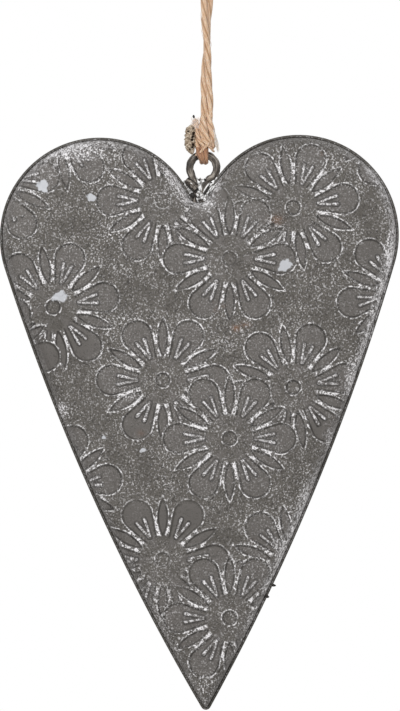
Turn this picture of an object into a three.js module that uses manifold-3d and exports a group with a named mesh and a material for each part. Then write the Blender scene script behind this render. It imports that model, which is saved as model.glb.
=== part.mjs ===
// A hanging heart of two pressed metal sheets, with a wire eye and a loop of twine.
// Millimetres, +Z up. The heart hangs in the XZ plane and its front faces -Y.
// The origin is the underside of the loop's top, where the hook bears.
import * as THREE from 'three';
import { mergeVertices } from 'three/addons/utils/BufferGeometryUtils.js';
import Module from 'manifold-3d';

const wasm = await Module();
wasm.setup();

// Heart outline
const lobeRadius = 27.9;
const lobeOverlap = 0.1;
const lobeOffset = lobeRadius - lobeOverlap;
const tipDrop = 132.2;
const sideRadius = 610;
const tipRadius = 1.45;
const cleftRadius = 2.7;

// Sheets: a flat lip at the seam, a rounded shoulder and a low crown
const sheetThickness = 0.3;
const lipWidth = 0.8;
const shoulderWidth = 3.6;
const shoulderDepth = 4.7;
const crownDepth = 1.6;
const crownInset = 21;
const seamClearance = 0.15;
const hemReturn = 0.65;
const hemCorner = 0.12;

// Wire eye: a round bow on two legs that pass between the sheets. The bow stands a little
// to the right of the heart's middle, so the heart hangs with its tip out to the right.
const wireRadius = 1.0;
const bowRadius = 3.85;
const bowStand = 8.95;
const legSpacing = 2.4;
const legDepth = 13;
const legSplay = 3.6;
const neckAngle = THREE.MathUtils.degToRad(55);
const bowLean = 1.1;
const restLean = THREE.MathUtils.degToRad(0.8);

// Solder
const solderClearance = 0.3;
const neckSolder = { halfWidth: 1.15, halfThickness: 1.0 };
const neckSolderProud = 1.05;
const tackSize = { halfWidth: 2.6, halfThickness: 2.0, halfHeight: 3.0 };

// Twine
const twineRadius = 0.9;
const strandOffset = 1.05;
const turnRadius = 2.45;
const knotHeight = 6.5;
const knotRadius = 3.0;
const knotWaist = 2.55;
const knotEndRadius = 2.1;
const twineClearance = 0.3;

// One strand of the loop, from the knot's top to the middle of the loop's top.
// The other strand is this one turned half round about Z, so the pair is twisted.
const knotTop = -48;
const strandRoute = [
  [1.05, 0, knotTop + twineClearance],
  [1.05, 0, -45.5],
  [1.04, -0.15, -42],
  [0.9, -0.55, -38],
  [0.65, -0.83, -34],
  [0.25, -1.02, -29.5],
  [-0.15, -1.04, -25],
  [-0.6, -0.87, -20.5],
  [-0.95, -0.5, -16.5],
  [-1.4, -0.2, -13],
  [-2.25, -0.05, -9.5],
  [-3.3, 0, -6.4],
  [-4.1, 0, -3.6],
  [-3.75, 0, -1.2],
  [-2.1, 0, 0.4],
];
const loopTop = [0, 0, twineRadius];

// The twine's two ends beside the knot, placed from the middle of the bow
const cutEnd = { radius: 1.5, top: [-3.25, -1.3, 10.6], foot: [-3.75, -2.3, 5.6] };
const frayedEnd = { radius: 0.6, points: [[3.35, -2.1, 11], [4.1, -2.6, 8], [4.5, -2.5, 4.4]] };

// Heights, worked out downwards from the knot
const knotBottom = knotTop - knotHeight;
const turnAxisZ = knotBottom - twineClearance - twineRadius - turnRadius;
const bowZ = turnAxisZ - bowRadius;
const cleftZ = bowZ - bowStand;
const cleftCentreRise = Math.sqrt((lobeRadius + cleftRadius) ** 2 - lobeOffset ** 2);
const lobeZ = cleftZ + cleftRadius - cleftCentreRise;

// Facets on round work
const wireSides = 10;
const wireSteps = 64;
const twineSides = 8;
const cleftSteps = 4;
const lobeSteps = 18;
const sideSteps = 8;
const tipSteps = 3;
const shoulderSteps = 4;
const crownSteps = 3;
const fullTurn = Math.PI * 2;

function toSolid(geometry) {
  const bare = geometry.clone();
  bare.deleteAttribute('normal');
  bare.deleteAttribute('uv');
  const merged = mergeVertices(bare, 1e-4);
  return new wasm.Manifold(new wasm.Mesh({
    numProp: 3,
    vertProperties: new Float32Array(merged.attributes.position.array),
    triVerts: new Uint32Array(merged.index.array),
  }));
}

function toGeometry(solid) {
  const mesh = solid.getMesh();
  const geometry = new THREE.BufferGeometry();
  geometry.setAttribute('position', new THREE.BufferAttribute(mesh.vertProperties, 3));
  geometry.setIndex(new THREE.BufferAttribute(mesh.triVerts, 1));
  geometry.computeVertexNormals();
  return geometry;
}

// Points on an arc about [cx, cz] from angle a to angle b, without the last one.
function arc(cx, cz, radius, a, b, steps) {
  return Array.from({ length: steps }, (_, i) => {
    const angle = a + (b - a) * i / steps;
    return new THREE.Vector2(cx + radius * Math.cos(angle), cz + radius * Math.sin(angle));
  });
}

// Centre of the right side's long arc: it touches the lobe's circle and the tip's circle from outside.
function sideCentre() {
  const tipZ = lobeZ - tipDrop + tipRadius;
  const toLobe = sideRadius - lobeRadius;
  const toTip = sideRadius - tipRadius;
  const dx = lobeOffset;
  const dz = lobeZ - tipZ;
  const gap = Math.hypot(dx, dz);
  const along = (toTip ** 2 - toLobe ** 2 + gap ** 2) / (2 * gap);
  const across = Math.sqrt(toTip ** 2 - along ** 2);
  return new THREE.Vector2((dx * along - dz * across) / gap, tipZ + (dz * along + dx * across) / gap);
}

// The heart's outline moved inwards by inset, clockwise from the cleft as the front shows it.
function heartLoop(inset) {
  const side = sideCentre();
  const cleft = cleftRadius + inset;
  const lobe = lobeRadius - inset;
  const flank = sideRadius - inset;
  const tip = Math.max(tipRadius - inset, tipRadius / 3);
  const tipZ = side.y - Math.sqrt((flank - tip) ** 2 - side.x ** 2);
  const cleftAngle = Math.atan2(-cleftCentreRise, lobeOffset);
  const lobeAngle = Math.atan2(lobeZ - side.y, lobeOffset - side.x);
  const tipAngle = Math.atan2(tipZ - side.y, -side.x);
  const right = [
    ...arc(0, lobeZ + cleftCentreRise, cleft, -Math.PI / 2, cleftAngle, cleftSteps),
    ...arc(lobeOffset, lobeZ, lobe, Math.PI + cleftAngle, lobeAngle, lobeSteps),
    ...arc(side.x, side.y, flank, lobeAngle, tipAngle, sideSteps),
    ...arc(0, tipZ, tip, tipAngle, -Math.PI / 2, tipSteps),
  ];
  const point = new THREE.Vector2(0, tipZ - tip);
  const left = right.slice(1).reverse().map((p) => new THREE.Vector2(-p.x, p.y));
  return [...right, point, ...left];
}

// A closed solid through heart loops, one for each [inset, depth] pair, with both ends capped.
function heartLoft(profile) {
  const count = heartLoop(0).length;
  const positions = [];
  const indices = [];
  for (const [inset, depth] of profile) {
    for (const p of heartLoop(inset)) positions.push(p.x, depth, p.y);
  }
  for (let ring = 0; ring < profile.length - 1; ring += 1) {
    for (let i = 0; i < count; i += 1) {
      const a = ring * count + i;
      const b = ring * count + (i + 1) % count;
      indices.push(a, b, b + count, a, b + count, a + count);
    }
  }
  const last = (profile.length - 1) * count;
  const cap = THREE.ShapeUtils.triangulateShape(heartLoop(profile[0][0]), []);
  const endCap = THREE.ShapeUtils.triangulateShape(heartLoop(profile[profile.length - 1][0]), []);
  for (const [a, b, c] of cap) indices.push(a, b, c);
  for (const [a, b, c] of endCap) indices.push(last + a, last + c, last + b);
  const geometry = new THREE.BufferGeometry();
  geometry.setAttribute('position', new THREE.Float32BufferAttribute(positions, 3));
  geometry.setIndex(indices);
  return geometry;
}

// Height of the low crown above the shoulder at an inset.
function crown(inset) {
  const q = (inset - lipWidth - shoulderWidth) / (crownInset - lipWidth - shoulderWidth);
  return crownDepth * (1 - (1 - THREE.MathUtils.clamp(q, 0, 1)) ** 2);
}

// One face of a sheet as [inset, depth] pairs, from the foot of its shoulder to the crown.
function dishFace(foot, footInset) {
  const middle = lipWidth + shoulderWidth;
  const shoulder = Array.from({ length: shoulderSteps + 1 }, (_, i) => {
    const angle = Math.PI / 2 * i / shoulderSteps;
    return [middle - (middle - footInset) * Math.cos(angle), foot + shoulderDepth * Math.sin(angle)];
  });
  const rest = Array.from({ length: crownSteps }, (_, i) => {
    const inset = middle + (crownInset - middle) * ((i + 1) / crownSteps);
    return [inset, foot + shoulderDepth + crown(inset)];
  });
  return [...shoulder, ...rest];
}

const lipInner = seamClearance / 2;
const lipOuter = lipInner + sheetThickness;
const innerFace = dishFace(lipInner, lipWidth + sheetThickness);
const outerFace = dishFace(lipOuter, lipWidth);

// Path of the wire's centre line from the top of the bow down one leg, on the side of sign.
// The heart's own middle is x = 0 here; the groups below set the bow's middle under the loop.
function eyeHalf(sign) {
  const legX = legSpacing / 2;
  const legY = lipInner + shoulderDepth + crown(legDepth) - wireRadius - solderClearance;
  const bow = Array.from({ length: 8 }, (_, i) => {
    const angle = Math.PI / 2 - (Math.PI / 2 + neckAngle) * i / 7;
    const reach = bowLean + sign * bowRadius * Math.cos(angle);
    return [sign * reach, 0, bowZ + bowRadius * Math.sin(angle)];
  });
  const leg = [
    [legX + sign * bowLean * 0.6 + wireRadius * 0.35, 0, bowZ - bowRadius - wireRadius * 0.4],
    [legX + sign * bowLean * 0.1, 0, bowZ - bowRadius - wireRadius * 1.6],
    [legX, 0, cleftZ],
    [legX, 0, cleftZ - lipWidth - wireRadius * 2],
    [legX + legSplay * 0.25, legY * 0.45, cleftZ - legDepth * 0.5],
    [legX + legSplay * 0.6, legY * 0.9, cleftZ - legDepth * 0.75],
    [legX + legSplay, legY, cleftZ - legDepth],
  ];
  return [...bow, ...leg].map(([x, y, z]) => new THREE.Vector3(sign * x, y, z));
}

function circle(radius, sides) {
  return new THREE.Shape(arc(0, 0, radius, 0, fullTurn, sides));
}

function tube(points, radius, sides, steps) {
  const path = new THREE.CatmullRomCurve3(points, false, 'centripetal');
  return new THREE.ExtrudeGeometry(circle(radius, sides), { steps, extrudePath: path });
}

function eyeWire(radius) {
  const left = eyeHalf(-1).reverse();
  const right = eyeHalf(1).slice(1);
  return tube([...left, ...right], radius, wireSides, wireSteps);
}

function ellipsoid(size, x, y, z) {
  const geometry = new THREE.SphereGeometry(1, 14, 9);
  geometry.scale(size.halfWidth, size.halfThickness, size.halfHeight);
  geometry.translate(x, y, z);
  return geometry;
}

// The room that every neighbour leaves for one half of the wire and for its end.
function halfRoom(sign) {
  const reach = wireRadius + solderClearance;
  const path = eyeHalf(sign);
  const pastTop = eyeHalf(-sign)[1];
  const end = path[path.length - 1];
  const ball = { halfWidth: reach, halfThickness: reach, halfHeight: reach };
  return toSolid(tube([pastTop, ...path], reach, wireSides, wireSteps / 2))
    .add(toSolid(ellipsoid(ball, end.x, end.y, end.z)));
}

// What the seam leaves open between the two legs, so that they share one slot.
function slotBetweenLegs() {
  const depth = wireRadius + solderClearance;
  const geometry = new THREE.BoxGeometry(legSpacing, depth * 2, (lipWidth + wireRadius) * 2);
  geometry.translate(0, 0, cleftZ);
  return toSolid(geometry);
}

const wireRoom = halfRoom(-1).add(halfRoom(1));
const legSlot = wireRoom.add(slotBetweenLegs());

// The front sheet: a shallow dish whose flat lip is held in the hem.
function frontShell() {
  const edge = sheetThickness + seamClearance;
  const flip = ([inset, depth]) => [inset, -depth];
  const profile = [
    ...innerFace.slice().reverse(),
    [edge, lipInner],
    [edge, lipOuter],
    ...outerFace,
  ].map(flip).reverse();
  return toGeometry(toSolid(heartLoft(profile)).subtract(legSlot));
}

// The back sheet: the same dish, with its edge folded round the front sheet's lip.
function backShell() {
  const hemInner = -lipOuter - seamClearance;
  const hemOuter = hemInner - sheetThickness;
  const profile = [
    ...innerFace.slice().reverse(),
    [sheetThickness, lipInner],
    [sheetThickness, hemInner],
    [hemReturn, hemInner],
    [hemReturn, hemOuter],
    [hemCorner, hemOuter],
    [0, hemOuter + hemCorner],
    [0, lipOuter - hemCorner],
    [hemCorner, lipOuter],
    ...outerFace,
  ];
  return toGeometry(toSolid(heartLoft(profile)).subtract(legSlot));
}

// A bead in the groove between the two legs, on the side of sign.
function neckBead(sign) {
  const halfHeight = (bowStand - bowRadius) / 2 - solderClearance;
  const middle = (bowZ - bowRadius + cleftZ) / 2;
  const bead = ellipsoid({ ...neckSolder, halfHeight }, 0, sign * neckSolderProud, middle);
  return toGeometry(toSolid(bead).subtract(wireRoom));
}

// Solder that holds a leg's end to the inside of the back sheet.
function legTack(sign) {
  const leg = eyeHalf(sign).pop();
  const hollow = toSolid(heartLoft([
    [lipWidth + sheetThickness + solderClearance, lipInner],
    ...innerFace.slice(1).map(([inset, depth]) => [inset + solderClearance, depth - solderClearance]),
  ]));
  const blob = toSolid(ellipsoid(tackSize, leg.x, leg.y, leg.z));
  return toGeometry(blob.intersect(hollow).subtract(wireRoom));
}

// The doubled strand that passes through the bow, as a ring about the bow's top wire.
function eyeTurn() {
  const half = 5;
  const section = [
    ...arc(turnRadius, strandOffset, twineRadius, 0, Math.PI, half),
    ...arc(turnRadius, -strandOffset, twineRadius, Math.PI, fullTurn, half),
  ];
  section.splice(half, 0, new THREE.Vector2(turnRadius - twineRadius, strandOffset));
  section.push(new THREE.Vector2(turnRadius + twineRadius, -strandOffset));
  section.push(section[0].clone());
  const geometry = new THREE.LatheGeometry(section, 24);
  geometry.rotateZ(-Math.PI / 2);
  geometry.translate(0, 0, turnAxisZ);
  return geometry;
}

function cutEndStub(radius) {
  const top = new THREE.Vector3(...cutEnd.top);
  const foot = new THREE.Vector3(...cutEnd.foot);
  const along = top.clone().sub(foot);
  const geometry = new THREE.CapsuleGeometry(radius, along.length(), 4, 12);
  geometry.applyQuaternion(new THREE.Quaternion().setFromUnitVectors(
    new THREE.Vector3(0, 1, 0),
    along.clone().normalize(),
  ));
  const middle = top.add(foot).multiplyScalar(0.5);
  geometry.translate(middle.x, middle.y, middle.z + bowZ);
  return geometry;
}

// The knot: two turns of twine drawn tight, one above the other.
function twineKnot() {
  const quarter = knotHeight / 4;
  const profile = [
    [0, 0],
    [knotEndRadius, 0],
    [knotRadius, quarter * 0.6],
    [knotRadius, quarter * 1.4],
    [knotWaist, quarter * 2],
    [knotRadius, quarter * 2.6],
    [knotRadius, quarter * 3.4],
    [knotEndRadius, knotHeight],
    [0, knotHeight],
  ].map(([r, z]) => new THREE.Vector2(r, z));
  const geometry = new THREE.LatheGeometry(profile, 20);
  geometry.rotateX(Math.PI / 2);
  geometry.translate(0, 0, knotBottom);
  return toGeometry(toSolid(geometry).subtract(toSolid(cutEndStub(cutEnd.radius + twineClearance))));
}

function twineLoop() {
  const up = strandRoute.map((p) => new THREE.Vector3(...p));
  const down = strandRoute.map(([x, y, z]) => new THREE.Vector3(-x, -y, z)).reverse();
  return tube([...up, new THREE.Vector3(...loopTop), ...down], twineRadius, twineSides, 46);
}

function frayedTail() {
  const points = frayedEnd.points.map(([x, y, z]) => new THREE.Vector3(x, y, z + bowZ));
  return tube(points, frayedEnd.radius, twineSides, 6);
}

const agedSheet = new THREE.MeshStandardMaterial({ color: 0x6d6965, roughness: 0.62, metalness: 0.6 });
const ironWire = new THREE.MeshStandardMaterial({ color: 0x4f4a44, roughness: 0.55, metalness: 0.8 });
const solder = new THREE.MeshStandardMaterial({ color: 0x9a9a98, roughness: 0.4, metalness: 0.9 });
const jute = new THREE.MeshStandardMaterial({ color: 0xc49f7c, roughness: 0.95, metalness: 0 });

const group = new THREE.Group();

// The heart turns about the bow's middle, which hangs under the loop, until it leans as it rests.
const leaning = new THREE.Group();
leaning.position.z = bowZ;
leaning.rotation.y = -restLean;
const heart = new THREE.Group();
heart.position.set(-bowLean, 0, -bowZ);
leaning.add(heart);
group.add(leaning);

function addPiece(parent, name, geometry, material) {
  const mesh = new THREE.Mesh(geometry, material);
  mesh.name = name;
  parent.add(mesh);
}

addPiece(heart, 'front_shell', frontShell(), agedSheet);
addPiece(heart, 'back_shell', backShell(), agedSheet);
addPiece(heart, 'hanger_eye', eyeWire(wireRadius), ironWire);
addPiece(heart, 'neck_solder_front', neckBead(-1), solder);
addPiece(heart, 'neck_solder_back', neckBead(1), solder);
addPiece(heart, 'leg_tack_left', legTack(-1), solder);
addPiece(heart, 'leg_tack_right', legTack(1), solder);
addPiece(group, 'twine_loop', twineLoop(), jute);
addPiece(group, 'twine_knot', twineKnot(), jute);
addPiece(group, 'eye_turn', eyeTurn(), jute);
addPiece(group, 'cut_end', cutEndStub(cutEnd.radius), jute);
addPiece(group, 'frayed_end', frayedTail(), jute);

export default group;
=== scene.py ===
"""A hanging metal heart: two pressed sheets with a flower pattern, a wire eye and a loop of
jute twine.

Shapes are worked out in millimetres in the row frame, +Z up and the front towards -Y, and
become metres where they are put into a mesh. The origin is the underside of the loop's top.
"""

from math import atan2, cos, hypot, pi, radians, sin, sqrt

import bmesh
import bpy
import numpy as np
from mathutils.geometry import delaunay_2d_cdt
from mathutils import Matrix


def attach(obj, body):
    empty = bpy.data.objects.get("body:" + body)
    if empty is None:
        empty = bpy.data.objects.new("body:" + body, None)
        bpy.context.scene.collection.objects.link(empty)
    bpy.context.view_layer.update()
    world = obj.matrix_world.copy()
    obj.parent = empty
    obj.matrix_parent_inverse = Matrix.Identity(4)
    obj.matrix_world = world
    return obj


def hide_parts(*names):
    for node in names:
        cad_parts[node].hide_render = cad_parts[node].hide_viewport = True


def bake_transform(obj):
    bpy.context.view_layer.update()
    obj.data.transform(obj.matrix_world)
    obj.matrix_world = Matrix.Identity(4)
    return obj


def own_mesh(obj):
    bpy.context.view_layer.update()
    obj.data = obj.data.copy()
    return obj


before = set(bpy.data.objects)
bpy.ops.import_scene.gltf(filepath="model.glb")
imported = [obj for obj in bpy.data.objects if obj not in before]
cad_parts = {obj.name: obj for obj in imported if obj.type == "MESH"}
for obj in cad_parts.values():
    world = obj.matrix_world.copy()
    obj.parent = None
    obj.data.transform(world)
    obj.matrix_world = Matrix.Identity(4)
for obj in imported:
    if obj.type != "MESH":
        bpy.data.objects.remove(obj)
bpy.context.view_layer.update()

MM = 0.001
TURN = 2 * pi
rng = np.random.default_rng(20)

# Heights, as in the part's source
TURN_AXIS = -58.15
BOW = -62.0
CLEFT = -70.95

# Heart outline and sheets
LOBE_RADIUS = 27.9
LOBE_OFFSET = 27.8
TIP_DROP = 132.2
SIDE_RADIUS = 610.0
TIP_RADIUS = 1.45
CLEFT_RADIUS = 2.7
SHEET = 0.3
LIP = 0.8
SHOULDER = 3.6
SHOULDER_DEPTH = 4.7
CROWN = 1.6
CROWN_INSET = 21.0
CROWN_BLEND = 12.0
SEAM = 0.15
HEM = 0.65
BOW_LEAN = 1.1
REST_LEAN = radians(0.8)
# Depths of the lip's two faces, and the inset where the shoulder ends
LIP_INNER = SEAM / 2
LIP_OUTER = SEAM / 2 + SHEET
SHOULDER_END = LIP + SHOULDER

# Wire eye
WIRE = 1.0
BOW_RADIUS = 3.76
LEG_SPACING = 2.4
LEG_DEPTH = 13.0
LEG_SPLAY = 3.6

# Twine
STRAND = 0.98

# The camera looks straight at the front from far off, with a long lens.
VIEW_DISTANCE = 2000.0
VIEW_HEIGHT = 198.5
VIEW_CENTRE = (-0.64, -114.35)


def aim_camera():
    """A long lens whose upright side takes in VIEW_HEIGHT at the heart's seam."""
    data = bpy.data.cameras.new("camera")
    data.sensor_fit = "VERTICAL"
    data.sensor_height = 36.0
    data.lens = data.sensor_height * VIEW_DISTANCE / VIEW_HEIGHT
    data.clip_end = 20.0
    camera = bpy.data.objects.new("camera", data)
    camera.location = (VIEW_CENTRE[0] * MM, -VIEW_DISTANCE * MM, VIEW_CENTRE[1] * MM)
    camera.rotation_euler = (pi / 2, 0, 0)
    bpy.context.collection.objects.link(camera)
    bpy.context.scene.camera = camera


aim_camera()


# Materials

SOFT = {"interpolation_type": "SMOOTHSTEP"}


def colour(code):
    """Linear RGBA of an sRGB hex value."""
    srgb = np.array([int(code[i : i + 2], 16) for i in (1, 3, 5)]) / 255
    linear = np.where(srgb <= 0.04045, srgb / 12.92, ((srgb + 0.055) / 1.055) ** 2.4)
    return (*linear.tolist(), 1.0)


def add(tree, kind, *inputs, out=0, sockets=None, **named):
    """Adds a shader node; a Math node's operation follows its kind. inputs fill its sockets in
    order and sockets by number, each with a value or a link. A name with a capital is a socket
    as well, with underscores for spaces, and any other name is a setting; out is the output
    that comes back."""
    kind, *operation = kind.split()
    made = tree.nodes.new("ShaderNode" + kind)
    if operation:
        made.operation = operation[0]
    sockets = {**dict(enumerate(inputs)), **(sockets or {})}
    for name, value in named.items():
        if name[0].isupper():
            sockets[name.replace("_", " ")] = value
        else:
            setattr(made, name, value)
    for key, value in sockets.items():
        if isinstance(value, bpy.types.NodeSocket):
            tree.links.new(value, made.inputs[key])
        else:
            made.inputs[key].default_value = value
    return made.outputs[out] if len(made.outputs) else made


def new_material(name):
    """An empty material and its node tree."""
    material = bpy.data.materials.new(name)
    material.use_nodes = True
    material.node_tree.nodes.clear()
    return material, material.node_tree


def finish_material(material, first, coats=(), bump=None, **sockets):
    """Ends a material in a Principled surface. Its colour is first, covered by each coat in
    turn, an amount and a colour. bump is a height, its strength and its depth in metres."""
    tree = material.node_tree
    base = colour(first)
    for amount, code in coats:
        coat = {6: base, 7: colour(code)}
        base = add(tree, "Mix", amount, sockets=coat, out=2, data_type="RGBA")
    if bump:
        height, strength, depth = bump
        normal = add(tree, "Bump", Strength=strength, Distance=depth, Height=height)
        sockets["Normal"] = normal
    add(tree, "OutputMaterial", add(tree, "BsdfPrincipled", Base_Color=base, **sockets))
    return material


def aged_sheet():
    """Zinc-coated iron sheet, pressed, greyed and rubbed with white.

    The eye sees a matt grey-brown metal with a salt-and-pepper grain like fine sand, a thin
    broken white line round every petal with a dark line of painted shade inside it, plain dark
    petal floors, pale chips, a rubbed band inside the rim that also paints light into the
    shoulder's shade, and a dark outline of painted shade.
    """
    material, t = new_material("aged_zinc_sheet")
    line, stroke, floor, rub, wear, rim, chip, rusty = (
        add(t, "Attribute", out="Fac", attribute_name=name)
        for name in ("line", "stroke", "floor", "rub", "wear", "rim", "chip", "rust")
    )

    # Real grit is too fine to show, so grit and pits are 0.5 mm across. Sand is 1 mm, drift
    # 3 mm, cloud 8 mm and stain 10 mm.
    place = add(t, "TexCoord", out="Object")
    shifted = add(t, "Mapping", place, Location=(0.31, 0.17, 0.53))
    grit, pits, sand, drift, cloud, stain = (
        add(t, "TexNoise", Vector=where, Scale=scale, Detail=detail, Roughness=roughness)
        for where, scale, detail, roughness in (
            (place, 2100, 2, 0.5),
            (shifted, 2200, 2, 0.5),
            (place, 950, 2, 0.6),
            (shifted, 330, 2, 0.6),
            (place, 120, 3, 0.6),
            (shifted, 95, 4, 0.7),
        )
    )

    # Edges that waver with the sand
    line_edge, stroke_edge, chip_edge = (
        add(t, "Math ADD", source, add(t, "MapRange", sand, 0.3, 0.7, -wave, wave))
        for source, wave in ((line, 0.12), (stroke, 0.16), (chip, 0.3))
    )

    # White along the outside of each outline and on the strokes, broken up by the sand
    near = add(t, "Math ABSOLUTE", add(t, "Math ADD", line_edge, 0.16))
    ridge = add(t, "MapRange", near, 0.06, 0.27, 1, 0, **SOFT)
    broken = add(t, "MapRange", sand, 0.45, 0.56, 0.05, 1, **SOFT)
    dotted = add(t, "MapRange", pits, 0.42, 0.52, 0.3, 1, **SOFT)
    faded = add(t, "MapRange", drift, 0.36, 0.6, 0.55, 1)
    white = ridge
    for factor in (broken, faded, dotted, rub, 2):
        white = add(t, "Math MULTIPLY", white, factor, use_clamp=True)
    stroke_top = add(t, "MapRange", stroke_edge, -0.1, 0.12, 0, 1, **SOFT)
    stroke_gap = add(t, "MapRange", pits, 0.43, 0.54, 0.1, 1, **SOFT)
    stroke_white = stroke_top
    for factor in (stroke_gap, faded):
        stroke_white = add(t, "Math MULTIPLY", stroke_white, factor)

    # Salt and pepper, thin inside the petals and thick where the wash was left
    open_ground = add(t, "MapRange", floor, -0.3, 0.9, 1, 0.5, **SOFT)
    density = add(t, "MapRange", drift, 0.36, 0.66, 0.75, 1.25)
    for factor in (add(t, "MapRange", cloud, 0.38, 0.62, 0.5, 1.35), open_ground):
        density = add(t, "Math MULTIPLY", density, factor)
    density = add(t, "Math MULTIPLY_ADD", wear, 1.8, density)
    salt = add(t, "MapRange", grit, 0.51, 0.71, 0, 1, **SOFT)
    for factor in (density, 0.47):
        salt = add(t, "Math MULTIPLY", salt, factor)
    haze = add(t, "MapRange", wear, 0.3, 1.3, 0, 0.58)
    haze_grain = add(t, "MapRange", grit, 0.4, 0.6, 0.1, 1.6)
    haze = add(t, "Math MULTIPLY", haze, haze_grain)
    salt = add(t, "Math ADD", salt, haze, use_clamp=True)
    pepper = add(t, "MapRange", pits, 0.5, 0.34, 0, 0.75, **SOFT)
    shaded = add(t, "MapRange", floor, -0.3, 0.9, 1, 0.55)
    pepper = add(t, "Math MULTIPLY", pepper, shaded)

    # The rubbed band just inside the rim: rubbed wear, and also painted light on the shoulder's
    # steep start, which lies in shade.
    band = add(t, "MapRange", rim, 0.05, 0.9, 0, 1)
    ragged = add(t, "MapRange", sand, 0.4, 0.6, 0.05, 1, **SOFT)
    for factor in (ragged, add(t, "MapRange", pits, 0.42, 0.55, 0.3, 1.2), 0.85):
        band = add(t, "Math MULTIPLY", band, factor)
    for other in (stroke_white, band, salt):
        white = add(t, "Math MAXIMUM", white, other, use_clamp=True)

    # Painted shade: a dark line inside each outline, where the petals' walls fall into shadow, and
    # one beside each stroke. With it go the dark pits of the grain and a darker ground in the
    # wiped spots.
    painted_shade_and_pits, stroke_shade = (
        add(t, "MapRange", beside, 0.1, 0.34, 1, 0, **SOFT)
        for beside in (
            add(t, "Math ABSOLUTE", add(t, "Math ADD", source, shift))
            for source, shift in ((line, -0.3), (stroke, 0.3))
        )
    )
    patchy = add(t, "MapRange", drift, 0.34, 0.6, 1, 0.6)
    for factor in (patchy, add(t, "MapRange", rub, 0, 0.5, 0, 1)):
        painted_shade_and_pits = add(t, "Math MULTIPLY", painted_shade_and_pits, factor)
    stroke_shade_grain = add(t, "MapRange", grit, 0.4, 0.58, 0.35, 1)
    stroke_shade = add(t, "Math MULTIPLY", stroke_shade, stroke_shade_grain)
    for other in (stroke_shade, pepper, add(t, "MapRange", wear, -0.35, 0, 0.14, 0)):
        painted_shade_and_pits = add(t, "Math MAXIMUM", painted_shade_and_pits, other)

    tone = add(t, "MapRange", cloud, 0.36, 0.66, 0, 1)
    polished = add(t, "MapRange", floor, 0.1, 1, 0, 0.8, **SOFT)
    rust = add(t, "MapRange", stain, 0.66, 0.76, 0, 0.35, **SOFT)
    rust = add(t, "Math MAXIMUM", rust, rusty)
    flaked = add(t, "MapRange", chip_edge, -0.2, 0.2, 0, 0.88, **SOFT)
    # Painted shade along the outline: the hem's outer edge, and the less rubbed rest of the hem,
    # are darkened
    edge = add(t, "MapRange", rim, -1, -0.1, 1, 0)
    coats = [
        (tone, "#64605B"),
        (polished, "#676360"),
        (rust, "#7A5A45"),
        # painted shade inside the outlines and beside the strokes, with the dark pits
        (painted_shade_and_pits, "#2B2825"),
        (white, "#F8F6F8"),
        (flaked, "#C9CBD0"),
        (edge, "#3C3932"),
    ]

    # Bump: the grit and pits, and the crisp tops of ridges and strokes
    height = add(t, "Math ADD", grit, pits)
    height = add(t, "Math MULTIPLY", height, open_ground)
    raised = add(t, "Math MAXIMUM", ridge, stroke_top)
    height = add(t, "Math MULTIPLY_ADD", raised, 0.9, height)
    rough = add(t, "MapRange", white, 0, 1, 0.6, 0.8)
    metal = add(t, "MapRange", white, 0, 0.6, 0.3, 0)
    bump = (height, 0.45, 0.00025)
    return finish_material(material, "#58544F", coats, bump, Metallic=metal, Roughness=rough)


def iron_wire():
    """Soft iron wire, bent cold and left to darken: near black, with brown-grey blotches and with
    pale and near-black streaks that run along it, partly rubbed metal and darkened iron and partly
    painted highlight and shade. Blotches are 1.6 mm across, streaks 0.5 by 3 mm."""
    material, t = new_material("darkened_iron_wire")
    place = add(t, "TexCoord", out="Object")
    lay = add(t, "Attribute", out="Vector", attribute_name="lay")
    blotch = add(t, "TexNoise", Vector=place, Scale=620, Detail=3, Roughness=0.65)
    along = add(t, "Mapping", lay, Scale=(1.9, 1.9, 0.3))
    streak_wear_and_light = add(t, "TexNoise", Vector=along, Scale=1, Detail=3, Roughness=0.6)
    coats = [
        (add(t, "MapRange", blotch, 0.38, 0.58, 0, 1), "#5C544D"),
        # pale streaks, partly rubbed metal and partly painted highlight
        (add(t, "MapRange", streak_wear_and_light, 0.5, 0.62, 0, 0.85, **SOFT), "#9C958C"),
        # near-black streaks, partly darkened iron and partly painted shade
        (add(t, "MapRange", streak_wear_and_light, 0.47, 0.38, 0, 0.9, **SOFT), "#2C2723"),
    ]
    bump = (add(t, "Math ADD", blotch, streak_wear_and_light), 0.6, 0.0003)
    return finish_material(material, "#2E2925", coats, bump, Metallic=0.35, Roughness=0.5)


def tin_solder():
    """Tin solder, flooded on and left as it set: dull grey with bright white crumbs of 0.7 mm and
    bright crests on the streaks, painted glints of the tin, and black specks, painted shade for
    its hollows."""
    material, t = new_material("tin_solder")
    place = add(t, "TexCoord", out="Object")
    crest = add(t, "Attribute", out="Fac", attribute_name="crest")
    crumb = add(t, "TexNoise", Vector=place, Scale=1500, Detail=3, Roughness=0.65)
    shifted = add(t, "Mapping", place, Location=(0.21, 0.43, 0.11))
    hollow = add(t, "TexNoise", Vector=shifted, Scale=1100, Detail=2, Roughness=0.6)
    # painted glints: white crumbs, and the white crests of the streaks
    bright = add(t, "MapRange", crumb, 0.43, 0.54, 0, 1, **SOFT)
    bright = add(t, "Math MAXIMUM", bright, crest)
    # painted shade: black specks for the hollows
    black = add(t, "MapRange", hollow, 0.44, 0.34, 0, 0.95, **SOFT)
    coats = [(bright, "#FFFFFF"), (black, "#2A2725")]
    bump = (crumb, 0.8, 0.0003)
    return finish_material(material, "#85827F", coats, bump, Metallic=0.2, Roughness=0.5)


def near_black(name):
    """Near black and matt, for three things: painted shade in the slits about the legs, burrs on
    the hem and a charred tip of jute. Its grains are 0.7 mm across."""
    material, t = new_material(name)
    place = add(t, "TexCoord", out="Object")
    grain = add(t, "TexNoise", Vector=place, Scale=1400, Detail=2)
    return finish_material(material, "#0E0C0B", [(grain, "#322D2A")], Roughness=0.75)


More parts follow.
